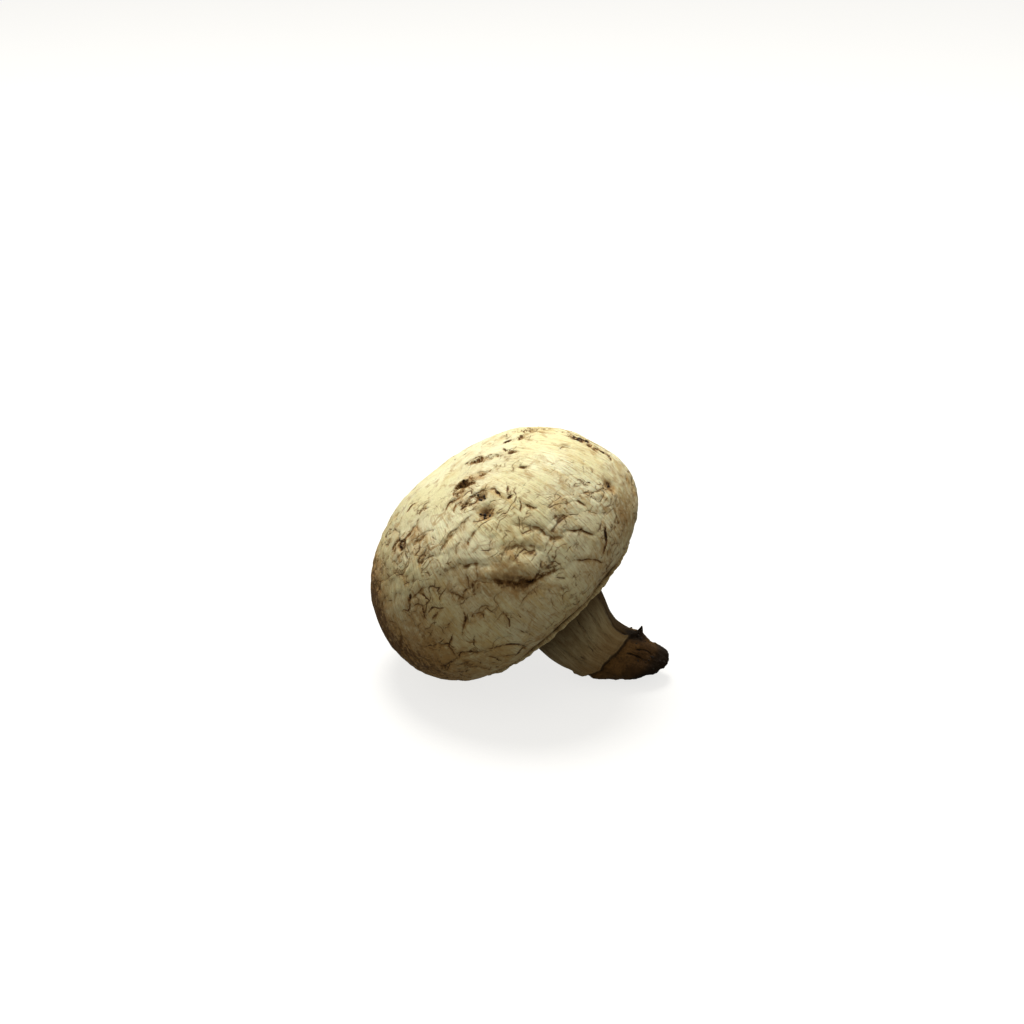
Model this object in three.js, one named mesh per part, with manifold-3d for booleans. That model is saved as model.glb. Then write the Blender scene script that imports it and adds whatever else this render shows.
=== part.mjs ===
// A picked button mushroom lying on its side, in millimetres.
//
// Each piece is drawn upright about the mushroom's own axis: +Z runs from the stem's foot to the top
// of the cap, and z = 0 is the lowest ring of the cap's margin. The upright mushroom is then tipped
// over until the margin and the foot of the stem both touch the surface that it lies on.
//
// The exported group's frame: +Z up, z = 0 the surface, +X from the cap towards the foot of the
// stem, and the origin under the middle of the mushroom's box.
import * as THREE from "three";
import { mergeVertices } from "three/addons/utils/BufferGeometryUtils.js";
import Module from "manifold-3d";

const wasm = await Module();
wasm.setup();

// ---- Driving dimensions -------------------------------------------------------------------
const GAP = 0.3; // left between neighbouring pieces

const CAP_RADIUS = 27.4;
const MARGIN_DEPTH = 12; // from the cap's widest ring down to its lowest ring
const DOME_HEIGHT = 21.6; // from the widest ring up to the top
const DOME_POWER = 2.1; // 2 is an ellipse, and more is fuller at the shoulder
const CAP_SKEW = 0.1; // how far the cap's top leans to the lower side, per millimetre of height
const MARGIN_RADIUS = 18.4; // of the lowest ring
const MARGIN_POWER = 2.05;
const LIP_RADIUS = 1.2; // the margin's edge rolls inwards round this
const LIP_CENTRE = [15.2, 2.1]; // radius and height of the roll's centre
const LIP_SWEEP = [0.45, 1.45]; // the half turn that the roll covers, in units of pi
const SHOULDER = [16, 20]; // heights over which the skin's waves set in above the hollow

const CHAMBER_RADIUS = 19.6; // the hollow that holds the gills
const CHAMBER_TOP = 13.5; // height of the flesh that the stem grows from
const CHAMBER_FOOT = 4.7; // height of the hollow's outer edge, above the rolled lip
const CHAMBER_POWER = 2.5;
const FLESH_RADIUS = 9.6;

// The stem's [radius, height] up its side, from the rounded foot to the flesh of the cap.
const STEM_SIDE = [
  [0, -22.4],
  [3, -21.8],
  [5.1, -20.2],
  [6.6, -17.4],
  [7.4, -15],
  [7.5, -13],
  [7.2, -9.4],
  [7.7, -5.5],
  [8.3, 0],
  [8.5, 7],
  [9, CHAMBER_TOP - GAP],
];
const STEM_CURL = 7; // how far the stem's foot curls off the surface
const CURL_DEPTHS = [10, 25]; // depths below the margin over which it does so
const STEM_LEAN = 2.5; // how far its foot leans to one side
const LEAN_DEPTHS = [0, 23];
const FOOT_SLANT = 0.5; // drop of the trimmed foot per millimetre towards its curl

const GILL_COUNT = 32;
const GILL_THICKNESS = 0.6;
const GILL_DEPTH = 7;
const GILL_BED = 0.8; // thickness of the bed that joins the gills
const GILL_OUTER_END = [-0.2, 0.3]; // from the bed's outer edge to the free edge's start
const GILL_SAG = [-3.6, 0.6]; // from the bed's outer edge to the point that draws the free edge down

// The veil's [radius, height] outline: out along its underside, then back along its top to the tear.
const VEIL_OUTLINE = [
  [11.2, 0.2],
  [15.2, -0.25],
  [18.4, -1.05],
  [19.8, -0.75],
  [19.2, -0.3],
  [18.4, -GAP],
  [15.2, 0.55],
  [11.2, 1],
];
const VEIL_LOOSE = [15.2, 11.2]; // radii over which its edge gets ragged, towards the tear

const PRESSED = 0.45; // how much the soft flesh flattens where it rests

// Waves round the axis: [how many, share of the radius, bearing of a crest in radians].
const CAP_WAVES = [
  [2, 0.012, 0.4],
  [3, 0.01, 2.6],
  [5, 0.004, 1.1],
];
const TORN_WAVES = [
  [2, 0.04, 0.9],
  [5, 0.05, 2.2],
  [9, 0.03, 0.4],
];

const CAP_STEPS = 56; // facets round the axis
const STEM_STEPS = 28;
const VEIL_STEPS = 48;
const DOME_STEPS = 13; // facets up or along a curve
const MARGIN_STEPS = 8;
const LIP_STEPS = 5;
const CHAMBER_STEPS = 6;
const GILL_STEPS = 4;
const GILL_EDGE_STEPS = 3;
const STEM_SIDE_STEPS = 18;

const LONGEST = 200; // longer than the whole mushroom
const WELD = 1e-4; // vertices closer than this are one
const TILTS = [0.3, 1.4]; // the resting tilt is between these, in radians
const HALVINGS = 30;

const COLOURS = { cap: 0xd9cfae, gills: 0x7b5a49, veil: 0xcabf9f, stem: 0xa89c80 };
const ROUGHNESS = { cap: 0.75, gills: 0.85, veil: 0.8, stem: 0.75 };

// ---- Shape helpers ------------------------------------------------------------------------
const at = (radius, height) => new THREE.Vector2(radius, height);
const { smoothstep } = THREE.MathUtils;

/** A quarter of a superellipse, from its end on the level axis to its end on the upright one. */
function quarter(centre, reach, rise, power, steps) {
  return Array.from({ length: steps + 1 }, (_, i) => {
    const turn = (i / steps) * (Math.PI / 2);
    const out = Math.max(Math.cos(turn), 0) ** (2 / power);
    const up = Math.max(Math.sin(turn), 0) ** (2 / power);
    return at(centre.x + reach * (i === steps ? 0 : out), centre.y + rise * (i === 0 ? 0 : up));
  });
}

function arc(centre, radius, from, to, steps) {
  return Array.from({ length: steps + 1 }, (_, i) => {
    const turn = THREE.MathUtils.lerp(from, to, i / steps);
    return at(centre.x + radius * Math.cos(turn), centre.y + radius * Math.sin(turn));
  });
}

/** Turns an outline of (radius, height) points about +Z. */
function turned(outline, steps) {
  return new THREE.LatheGeometry(outline, steps).rotateX(Math.PI / 2);
}

function waves(list, bearing) {
  return list.reduce((sum, [count, share, crest]) => sum + share * Math.cos(count * (bearing - crest)), 0);
}

/** Moves every vertex of a geometry by a function of its place. */
function reshaped(geometry, move) {
  const places = geometry.getAttribute("position");
  const place = new THREE.Vector3();
  for (let i = 0; i < places.count; i += 1) {
    place.fromBufferAttribute(places, i);
    move(place);
    places.setXYZ(i, place.x, place.y, place.z);
  }
  return geometry;
}

function solidOf(geometry) {
  const bare = geometry.clone();
  bare.deleteAttribute("normal");
  bare.deleteAttribute("uv");
  const merged = mergeVertices(bare, WELD);
  const vertProperties = new Float32Array(merged.getAttribute("position").array);
  const triVerts = new Uint32Array(merged.index.array);
  return new wasm.Manifold(new wasm.Mesh({ numProp: 3, vertProperties, triVerts }));
}

function geometryOf(solid) {
  const { vertProperties, triVerts } = solid.getMesh();
  const geometry = new THREE.BufferGeometry();
  geometry.setAttribute("position", new THREE.BufferAttribute(new Float32Array(vertProperties), 3));
  geometry.setIndex(new THREE.BufferAttribute(new Uint32Array(triVerts), 1));
  geometry.computeVertexNormals();
  return geometry;
}

// ---- Cap ----------------------------------------------------------------------------------
/** The roof and outer wall of the gill chamber, from the flesh outwards and down. */
function chamberSide(clearance, steps) {
  const foot = at(FLESH_RADIUS, CHAMBER_FOOT);
  const reach = CHAMBER_RADIUS - foot.x - clearance;
  const rise = CHAMBER_TOP - foot.y - clearance;
  return quarter(foot, reach, rise, CHAMBER_POWER, steps).reverse();
}

function capShape() {
  const widest = at(MARGIN_RADIUS, MARGIN_DEPTH);
  const reach = CAP_RADIUS - MARGIN_RADIUS;
  const [from, to] = LIP_SWEEP.map((share) => share * Math.PI);
  const lip = arc(at(...LIP_CENTRE), LIP_RADIUS, from, to, LIP_STEPS);
  const margin = quarter(widest, reach, -MARGIN_DEPTH, MARGIN_POWER, MARGIN_STEPS).reverse();
  const dome = quarter(at(0, MARGIN_DEPTH), CAP_RADIUS, DOME_HEIGHT, DOME_POWER, DOME_STEPS).slice(1);
  const outline = [at(0, CHAMBER_TOP), ...chamberSide(0, CHAMBER_STEPS), ...lip, ...margin, ...dome];
  return reshaped(turned(outline, CAP_STEPS), (place) => {
    const radius = Math.hypot(place.x, place.y);
    const skin = Math.max(smoothstep(radius, CHAMBER_RADIUS, CAP_RADIUS), smoothstep(place.z, ...SHOULDER));
    const grown = 1 + skin * waves(CAP_WAVES, Math.atan2(place.y, place.x));
    place.x = place.x * grown - skin * CAP_SKEW * (place.z - MARGIN_DEPTH);
    place.y *= grown;
  });
}

// ---- Gills --------------------------------------------------------------------------------
/** One gill: an upright plate between the chamber's roof and its own free edge. */
function gillPlate() {
  const roof = chamberSide(GAP + GILL_BED / 2, GILL_STEPS);
  const [inner, outer] = [roof[0], roof[roof.length - 1]];
  const free = new THREE.QuadraticBezierCurve(
    at(...GILL_OUTER_END).add(outer),
    at(...GILL_SAG).add(outer),
    at(inner.x, inner.y - GILL_DEPTH),
  );
  const plate = new THREE.Shape([...roof, ...free.getPoints(GILL_EDGE_STEPS)]);
  const options = { depth: GILL_THICKNESS, bevelEnabled: false };
  return new THREE.ExtrudeGeometry(plate, options).translate(0, 0, -GILL_THICKNESS / 2).rotateX(Math.PI / 2);
}

/** The thin bed under the cap's flesh that the gills grow from. */
function gillBed() {
  const upper = chamberSide(GAP, GILL_STEPS);
  const lower = chamberSide(GAP + GILL_BED, GILL_STEPS);
  return turned([...upper.reverse(), ...lower, upper[0].clone()], CAP_STEPS);
}

function gillsSolid() {
  const plate = gillPlate();
  let solid = solidOf(gillBed());
  for (let i = 0; i < GILL_COUNT; i += 1) {
    solid = solid.add(solidOf(plate.clone().rotateZ((i / GILL_COUNT) * 2 * Math.PI)));
  }
  return solid;
}

// ---- Veil ---------------------------------------------------------------------------------
/** The torn skin that closed the cap: it wraps the margin and ends in a ragged ring by the stem. */
function veilShape() {
  const outline = [...VEIL_OUTLINE, VEIL_OUTLINE[0]].map((p) => at(...p));
  const [whole, torn] = VEIL_LOOSE;
  return reshaped(turned(outline, VEIL_STEPS), (place) => {
    const radius = Math.hypot(place.x, place.y);
    const loose = smoothstep(-radius, -whole, -torn);
    const grown = 1 + loose * waves(TORN_WAVES, Math.atan2(place.y, place.x));
    place.x *= grown;
    place.y *= grown;
  });
}

// ---- Stem ---------------------------------------------------------------------------------
function stemShape() {
  const side = new THREE.SplineCurve(STEM_SIDE.map((p) => at(...p))).getPoints(STEM_SIDE_STEPS);
  return reshaped(turned([...side, at(0, CHAMBER_TOP - GAP)], STEM_STEPS), (place) => {
    const back = smoothstep(-place.z, ...CURL_DEPTHS);
    place.z -= FOOT_SLANT * place.x * back;
    place.x += STEM_CURL * back;
    place.y -= STEM_LEAN * smoothstep(-place.z, ...LEAN_DEPTHS);
  });
}

// ---- Lying down ---------------------------------------------------------------------------
/** Height of the lowest point of a solid once the mushroom is tipped over by an angle. */
function lowest(solid, tilt) {
  const { vertProperties } = solid.getMesh();
  let height = Infinity;
  for (let i = 0; i < vertProperties.length; i += 3) {
    height = Math.min(height, vertProperties[i] * Math.sin(tilt) + vertProperties[i + 2] * Math.cos(tilt));
  }
  return height;
}

/** The tilt at which the cap and the foot of the stem are equally low, found by halving. */
function restingTilt(cap, stem) {
  let [low, high] = TILTS;
  for (let i = 0; i < HALVINGS; i += 1) {
    const middle = (low + high) / 2;
    if (lowest(stem, middle) > lowest(cap, middle)) {
      high = middle;
    } else {
      low = middle;
    }
  }
  return (low + high) / 2;
}

const capWhole = solidOf(capShape());
const stemWhole = solidOf(stemShape());
const tilt = restingTilt(capWhole, stemWhole);
const surface = lowest(capWhole, tilt) + PRESSED;
const ground = new THREE.BoxGeometry(LONGEST, LONGEST, LONGEST)
  .translate(0, 0, surface - LONGEST / 2)
  .rotateY(tilt);
const pressedFlat = (solid) => solid.subtract(solidOf(ground));

// ---- Assembly -----------------------------------------------------------------------------
const pieces = {
  cap: pressedFlat(capWhole),
  gills: gillsSolid(),
  veil: pressedFlat(solidOf(veilShape())),
  stem: pressedFlat(stemWhole),
};

const upright = new THREE.Group();
for (const [name, solid] of Object.entries(pieces)) {
  const surfaceLook = { color: COLOURS[name], roughness: ROUGHNESS[name], metalness: 0 };
  const material = new THREE.MeshStandardMaterial(surfaceLook);
  const mesh = new THREE.Mesh(geometryOf(solid), material);
  mesh.name = name;
  upright.add(mesh);
}
upright.rotation.y = -tilt;

const mushroom = new THREE.Group();
mushroom.add(upright);
const box = new THREE.Box3().setFromObject(mushroom, true);
const middle = box.getCenter(new THREE.Vector3());
upright.position.set(-middle.x, -middle.y, -surface);

export default mushroom;
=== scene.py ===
"""A picked button mushroom lying on a pale floor.

The CAD nodes give the place and size of every piece. Lengths are in millimetres until a mesh is
written back in metres. The mushroom's own upright frame has +Z along its axis, from the stem's foot to
the cap's top, z = 0 at the margin's lowest ring, and +X towards its upper side as it lies. On the cap,
a place is (bearing, down), in degrees: the bearing turns about the axis from +X, with -90 nearest the
camera, and down is the angle from the cap's top, seen from the middle of its widest ring.
"""

import math
import random

import bmesh
import bpy
import numpy as np
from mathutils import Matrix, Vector, noise
from mathutils.kdtree import KDTree


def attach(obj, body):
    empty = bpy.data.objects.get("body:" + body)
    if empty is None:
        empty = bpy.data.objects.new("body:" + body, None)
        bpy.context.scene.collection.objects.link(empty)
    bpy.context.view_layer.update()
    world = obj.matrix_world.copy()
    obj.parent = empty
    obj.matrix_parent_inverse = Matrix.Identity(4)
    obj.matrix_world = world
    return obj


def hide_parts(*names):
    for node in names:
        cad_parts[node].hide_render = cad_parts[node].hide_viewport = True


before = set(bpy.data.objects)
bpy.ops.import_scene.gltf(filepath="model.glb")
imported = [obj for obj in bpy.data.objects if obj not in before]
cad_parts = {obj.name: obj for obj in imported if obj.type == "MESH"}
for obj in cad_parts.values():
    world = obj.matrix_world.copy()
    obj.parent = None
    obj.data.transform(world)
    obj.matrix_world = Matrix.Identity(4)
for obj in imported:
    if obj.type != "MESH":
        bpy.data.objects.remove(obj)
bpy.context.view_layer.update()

MM = 0.001
NOISE_SEED = 5
LACUNARITY = 2.1  # how much finer each octave of noise is than the one before
noise.seed_set(NOISE_SEED)  # unset, noise_vector is seeded from the clock

# ---- Camera and light ----
CAMERA_AZIMUTH = 8
CAMERA_ELEVATION = 22
CAMERA_DISTANCE = 400
CAMERA_LENS = 73.7
CAMERA_AIM = (-2.2, 4.2, 30.0)  # above the middle of the resting surface

WORLD_BELOW = 0.14  # brightness of the world from below, and from above
WORLD_ABOVE = 0.50
WORLD_COLOUR = (1.0, 0.96, 0.86, 1)
BACKDROP = 0.92  # brightness of the world where the camera sees it
BACKDROP_COLOUR = (1.0, 0.995, 0.985, 1)
TOP_LIGHT = dict(azimuth=204, elevation=64, distance=0.7, size=0.4, power=5.9, colour=(1.0, 0.985, 0.94))
LIGHT_AIM = (0, 0, 25 * MM)

FLOOR_HALF = 6.0  # metres
FLOOR_COLOUR = (0.26, 0.258, 0.255, 1)
FLOOR_GLOW = (1.0, 0.995, 0.98, 1)
FLOOR_BRIGHTNESS = 0.76

# ---- Fineness of the meshes ----
CAP_VOXEL = 0.39
STEM_VOXEL = 0.26
VEIL_VOXEL = 0.24
REACH = 0.9  # how far from a mark's line its distance is stored
CAP_GIRTH = 27.0  # radius that turns a bearing on the cap into a length


# ==== Places ====
def points_of(mesh):
    """The places of a mesh's vertices, in millimetres."""
    places = np.empty(len(mesh.vertices) * 3)
    mesh.vertices.foreach_get("co", places)
    return places.reshape(-1, 3) / MM


def normals_of(mesh):
    normals = np.empty(len(mesh.vertices) * 3)
    mesh.vertex_normals.foreach_get("vector", normals)
    return normals.reshape(-1, 3)


def unit(v):
    return v / np.maximum(np.linalg.norm(v, axis=-1, keepdims=True), 1e-9)


def ring_place(girth, bearing, level):
    """Places on a ring of some girth, at some level."""
    return np.stack([girth * np.cos(bearing), girth * np.sin(bearing), level], 1)


def tree_of(places, numbers=None):
    """A tree for finding the nearest of some places. It gives back a place's number in the list."""
    numbers = range(len(places)) if numbers is None else numbers
    tree = KDTree(len(numbers))
    for i in numbers:
        tree.insert(places[i], i)
    tree.balance()
    return tree


def cap_ray(bearing, down):
    """The direction of a place on the cap, from the middle of its widest ring."""
    turn, drop = math.radians(bearing), math.radians(down)
    return Vector((math.sin(drop) * math.cos(turn), math.sin(drop) * math.sin(turn), math.cos(drop)))


def smooth(low, high, value):
    """Rises smoothly from 0 at low to 1 at high. With low above high, it falls instead."""
    t = np.clip((value - low) / (high - low), 0, 1)
    return t * t * (3 - 2 * t)


class Upright:
    """The mushroom's own frame, found from the ring of gills and the cap's lowest ring."""

    def __init__(self):
        ring = points_of(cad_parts["gills"].data)
        middle = ring.mean(0)
        _, directions = np.linalg.eigh(np.cov((ring - middle).T))
        spread = [np.ptp((ring - middle) @ directions[:, i]) for i in range(3)]
        axis = directions[:, int(np.argmin(spread))]
        self.up = axis * np.sign(axis[2])
        side = unit(np.cross((0, 0, 1), self.up))
        side = side * np.sign(side[1])
        self.turn = np.array([np.cross(side, self.up), side, self.up])
        cap = (points_of(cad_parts["cap"].data) - middle) @ self.turn.T
        skin = cap[:, 2] < cap[:, 2].min() + 1e-3
        self.origin = middle + self.up * cap[skin, 2].mean()
        cap[:, 2] -= cap[skin, 2].mean()
        self.widest = cap[np.argmax(np.abs(cap[:, 1])), 2]

    def inward(self, places):
        return (places - self.origin) @ self.turn.T

    def outward(self, places):
        return places @ self.turn + self.origin


upright = Upright()


# ==== Mesh helpers ====
def new_object(name, data):
    thing = bpy.data.objects.new(name, data)
    bpy.context.scene.collection.objects.link(thing)
    return thing


def new_piece(name, mesh, node, material):
    """Puts a mesh in the scene as a piece that rides on the root and stands for a CAD node, if any."""
    piece = new_object(name, mesh)
    mesh.materials.clear()
    mesh.materials.append(material)
    for polygon in mesh.polygons:
        polygon.use_smooth = True
    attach(piece, "root")
    if node:
        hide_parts(node)
    return piece


def fine_copy(node, voxel, rounds):
    """A dense, smooth mesh of a CAD node's surface."""
    source = new_object("fine_" + node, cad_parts[node].data.copy())
    remesh = source.modifiers.new("Remesh", "REMESH")
    remesh.mode = "VOXEL"
    remesh.voxel_size = voxel * MM
    soften = source.modifiers.new("Smooth", "SMOOTH")
    soften.iterations = rounds
    graph = bpy.context.evaluated_depsgraph_get()
    mesh = bpy.data.meshes.new_from_object(source.evaluated_get(graph))
    bpy.data.objects.remove(source)
    return mesh


def write_points(mesh, upright_places):
    """Writes places back in metres, pressed flat where they would pass through the floor."""
    places = upright.outward(upright_places)
    places[:, 2] = np.maximum(places[:, 2], 0)
    mesh.vertices.foreach_set("co", (places * MM).ravel())
    mesh.update()


def keep_attribute(mesh, name, values):
    kind = "FLOAT" if values.ndim == 1 else "FLOAT_VECTOR"
    attribute = mesh.attributes.new(name, kind, "POINT")
    attribute.data.foreach_set("value" if values.ndim == 1 else "vector", values.astype(np.float32).ravel())


def fractal(places, size, octaves=4, shift=0.0):
    """Smooth noise of about -1 to 1, with its largest lumps of the given size."""
    scaled = places / size + shift
    return np.array([noise.fractal(Vector(p), 1.0, LACUNARITY, octaves) for p in scaled])


# ==== Marks on the skin ====
class Skin:
    """A surface with marks on it: cracks, the edges of scales, and folds.

    Each layer of marks keeps, for every vertex, its signed distance from the nearest mark's line,
    that mark's strength there and its tone, so that the material can draw the line crisply.
    """

    def __init__(self, places, normals):
        self.places = places
        self.normals = normals
        self.height = np.zeros(len(places))
        self.stain = np.zeros(len(places))
        self.tree = tree_of(places)
        self.layers = {}

    def layer(self, name):
        if name not in self.layers:
            blank = np.zeros((len(self.places), 3))
            blank[:, 0] = 2 * REACH
            self.layers[name] = blank
        return self.layers[name]

    def near(self, middle, radius):
        return np.array([found[1] for found in self.tree.find_range(middle, radius)], int)

    def measure(self, line):
        """Vertices near a line, their signed distance from it, and how far along it they are."""
        starts, steps = line[:-1], np.diff(line, axis=0)
        middle = line.mean(0)
        radius = np.linalg.norm(line - middle, axis=1).max() + 3 * REACH
        near = self.near(middle, radius)
        if len(near) == 0:
            return near, None, None
        offset = self.places[near][:, None] - starts[None]
        along = np.clip((offset * steps).sum(2) / (steps * steps).sum(1), 0, 1)
        gap = offset - along[..., None] * steps
        distance = np.linalg.norm(gap, axis=2)
        best = distance.argmin(1)
        rows = np.arange(len(near))
        sideways = np.cross(self.normals[near], steps[best])
        sign = np.sign((gap[rows, best] * sideways).sum(1) + 1e-12)
        return near, distance[rows, best] * sign, (best + along[rows, best]) / len(steps)

    def mark(self, layer, line, width, depth, lift, tone, stain):
        """Cuts a line into the skin, lifts the skin on its positive side, and darkens it."""
        near, distance, along = self.measure(line)
        if len(near) == 0:
            return
        taper = np.sqrt(np.sin(np.pi * np.clip(along, 0.02, 0.98)))
        uneven = np.array([noise.noise(Vector(p)) for p in self.places[near] / 0.9])
        taper = taper * np.clip(0.8 + 0.7 * uneven, 0.1, 1.2)
        away = np.abs(distance)
        raised = np.where(distance > 0, np.exp(-away / (2.5 * width)), -0.4 * np.exp(-away / (1.5 * width)))
        cut = np.exp(-((away / width) ** 2))
        self.height[near] += taper * (lift * raised - depth * cut)
        # Painted shadow: the brown spreads wider on the lower, negative side, under the lifted edge, besides
        # the line's own stain.
        spread = np.where(distance > 0, 1.2 * width, 3.5 * width)
        self.stain[near] += stain * taper * np.exp(-away / spread)
        kept = self.layer(layer)
        closer = away < np.abs(kept[near, 0])
        chosen = near[closer]
        fade = 1 - smooth(0.6 * REACH, REACH, away[closer])
        kept[chosen, 0] = distance[closer]
        kept[chosen, 1] = taper[closer] * fade
        kept[chosen, 2] = tone

    def dent(self, middle, radius, depth, stain=0.0):
        """Presses a round hollow, or with a negative depth raises a swelling."""
        near = self.near(middle, 2.5 * radius)
        if len(near) == 0:
            return
        share = np.exp(-((np.linalg.norm(self.places[near] - middle, axis=1) / radius) ** 2))
        self.height[near] -= depth * share
        self.stain[near] += stain * share

    def write(self, mesh):
        for name, values in self.layers.items():
            keep_attribute(mesh, name, values)
        keep_attribute(mesh, "stain", np.clip(self.stain, 0, 1.5))


def ragged(line, amount, size=1.1):
    """Gives a smooth line the small random bends of a tear."""
    along = np.concatenate([[0], np.linalg.norm(np.diff(line, axis=0), axis=1).cumsum()])
    stations = np.linspace(0, along[-1], max(4, int(along[-1] / 0.35)))
    fine = np.stack([np.interp(stations, along, line[:, k]) for k in range(3)], 1)
    bends = np.array([noise.noise_vector(Vector(p / size)) for p in fine])
    return fine + amount * bends


def curve_through(corners, steps=5):
    """A smooth line through a few corners."""
    corners = np.asarray(corners, float)
    if len(corners) < 3:
        return np.linspace(corners[0], corners[-1], steps + 1)
    ends = [2 * corners[0] - corners[1], *corners, 2 * corners[-1] - corners[-2]]
    line = []
    for a, b, c, d in zip(ends, ends[1:], ends[2:], ends[3:]):
        for t in np.linspace(0, 1, steps, endpoint=False):
            line.append(0.5 * (2 * b + (c - a) * t + (2 * a - 5 * b + 4 * c - d) * t**2
                               + (3 * b - a - 3 * c + d) * t**3))
    return np.array([*line, corners[-1]])


# ==== Cap ====
class CapPlaces:
    """Finds places on the cap's skin from a bearing and an angle down from its top."""

    def __init__(self, places, outside):
        self.places = places
        self.centre = np.array([0, 0, upright.widest])
        self.rays = unit(places - self.centre)
        self.tree = tree_of(self.rays, np.flatnonzero(outside))

    def nearest(self, bearing, down):
        return self.tree.find(cap_ray(bearing, down))[1]

    def at(self, bearing, down):
        return self.places[self.nearest(bearing, down)]

    def anywhere(self, dice, region):
        """A random vertex of a region, the same whatever order the vertices come in."""
        while True:
            ray = Vector([dice.gauss(0, 1) for _ in range(3)]).normalized()
            found = self.tree.find(ray)[1]
            if region[found]:
                return found

    def around(self, bearing, down, size):
        """How near every vertex is to a place, from 1 there to nothing well beyond the size."""
        return np.exp(-((np.linalg.norm(self.places - self.at(bearing, down), axis=1) / size) ** 2))

    def line(self, corners):
        """A smooth line on the skin through a few places."""
        rough = curve_through([self.at(*corner) for corner in corners])
        return np.array([self.at_ray(p) for p in rough])

    def at_ray(self, place):
        """The skin under a place, kept at the place's own sideways position."""
        ray = unit(place - self.centre)
        nearest = self.places[self.tree.find(Vector(ray))[1]]
        return self.centre + ray * np.dot(nearest - self.centre, ray)


# Landmarks on the camera's side.
TORN_ROWS = [  # (bearing, down) of a row's two ends, and how many tears lie along it
    ((-33, 27), (-17, 48), 12),
    ((-62, 36), (-40, 43), 10),
    ((-72, 42), (-57, 41), 5),
    ((-67, 48), (-52, 51), 6),
    ((-5, 45), (15, 55), 8),
    ((8, 70), (2, 84), 6),
    ((-125, 38), (-112, 50), 6),
]
FOLDS = [  # width, depth, lift, tone, corners
    (0.8, 1.3, 0.5, 1.3, [(-80, 80), (-75, 86), (-70, 90), (-65, 92), (-60, 95)]),
    (0.7, 0.45, 0.3, 0.5, [(-58, 70), (-53, 77), (-50, 85), (-45, 88)]),
    (0.6, 0.35, 0.3, 0.4, [(-73, 79), (-66, 76), (-61, 80), (-57, 86)]),
    (0.6, 0.4, 0.3, 0.5, [(-92, 67), (-85, 69), (-77, 75)]),
    (0.5, 0.35, 0.3, 0.5, [(-93, 61), (-88, 57), (-78, 56)]),
    (0.5, 0.35, 0.3, 0.6, [(-107, 48), (-95, 46)]),
    (0.5, 0.4, 0.3, 0.6, [(-85, 72), (-90, 79)]),
    (0.5, 0.4, 0.3, 0.6, [(-97, 73), (-92, 80)]),
    (0.5, 0.35, 0.3, 0.5, [(-115, 68), (-105, 66)]),
]
CRACKS = [  # tone, corners
    (1.0, [(-45, 88), (-40, 91), (-37, 97)]),
    (1.4, [(-30, 98), (-33, 102), (-38, 105)]),
    (0.8, [(-52, 97), (-47, 101), (-40, 109)]),
    (1.1, [(-100, 88), (-96, 84)]),
    (1.0, [(-118, 86), (-112, 90), (-107, 88)]),
    (1.1, [(-112, 90), (-114, 96)]),
    (1.2, [(-125, 97), (-117, 98)]),
    (1.1, [(-112, 95), (-104, 101)]),
    (1.2, [(-101, 102), (-96, 104)]),
    (0.8, [(-85, 93), (-85, 97), (-88, 100)]),
    (0.8, [(-86, 103), (-84, 109)]),
    (1.2, [(-51, 51), (-49, 54), (-52, 60)]),
    (1.0, [(-51, 61), (-47, 62)]),
    (1.0, [(-49, 60), (-44, 56)]),
    (1.0, [(-30, 55), (-28, 58)]),
    (1.0, [(-48, 69), (-46, 73)]),
    (1.1, [(-31, 83), (-30, 87)]),
]
CRACK = (0.42, 0.35, 0.25)  # width, depth, lift
# For the rest: bearing, down, size, and then depth, rise, amount or nothing.
PITS = [(-57, 51, 0.8, 0.7), (-62, 59, 1.3, 0.9), (-13, 90, 1.2, 0.7), (-71, 89, 1.2, 0.5)]
SWELLINGS = [(-70, 81, 2.6, 0.6), (-79, 79, 2.0, 0.5), (-66, 87, 2.0, 0.6), (-72, 99, 5.0, 0.5)]
# Brown patches. The first three, along the lower left edge, are partly painted shadow, and those at (-76, 83)
# and (-72, 86) are partly painted shade under the deep fold's upper lip.
STAINS_AND_SHADE = [(-158, 62, 7, 1.8), (-152, 80, 7, 1.9), (-135, 94, 7, 1.1), (-118, 82, 4, 0.5), (-34, 76, 4, 0.3),
          (-76, 83, 4, 0.5), (-105, 46, 3, 0.5), (-45, 38, 6, 0.3), (-12, 98, 6, 0.3), (3, 78, 4, 0.15),
          (-42, 106, 6, 0.5), (-92, 76, 4, 0.3), (-18, 106, 5, 0.6), (0, 96, 5, 0.3), (-125, 102, 8, 0.35),
          (-72, 86, 3, 0.5)]
CALM_SPOTS = [(-70, 101, 7), (-10, 50, 8), (-45, 28, 5), (-98, 92, 5), (-33, 68, 6), (-35, 92, 4),
              (100, 60, 9), (170, 80, 8), (60, 100, 7)]

# How short marks look. Their heading and its spread are in radians from level, and their bend is a
# share of their length. Then come width, depth, lift, tone and stain with painted shade, as Skin.mark takes
# them.
TEAR_LOOK = dict(width=0.3, depth=0.3, lift=0.3, tone=1.25, stain=0.3, ragged=0.45)
FLAKE_LOOK = dict(heading=0.1, spread=0.45, bend=0.2, width=0.4, depth=0.09, lift=0.1, tone=0.9, stain=0.3,
                  ragged=0)
FOLD_LOOK = dict(FLAKE_LOOK, heading=0.3, spread=0.7, bend=0.25, width=0.6, depth=0.4, lift=0.3, tone=0.55,
                 stain=0.4)
ARC_LOOK = dict(FOLD_LOOK, heading=0.5, spread=0.5, bend=0.22, width=0.42, depth=0.2, lift=0.18, tone=0.85,
                stain=0.45)
CRACK_LOOK = dict(FLAKE_LOOK, spread=0.9, bend=0.1, depth=0.3, lift=0.15, tone=1.2, stain=0.35, ragged=0.4)
TICK_LOOK = dict(FLAKE_LOOK, spread=0.9, bend=0.1, width=0.36, depth=0.08, lift=0.04, tone=0.85, stain=0.15)
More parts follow.
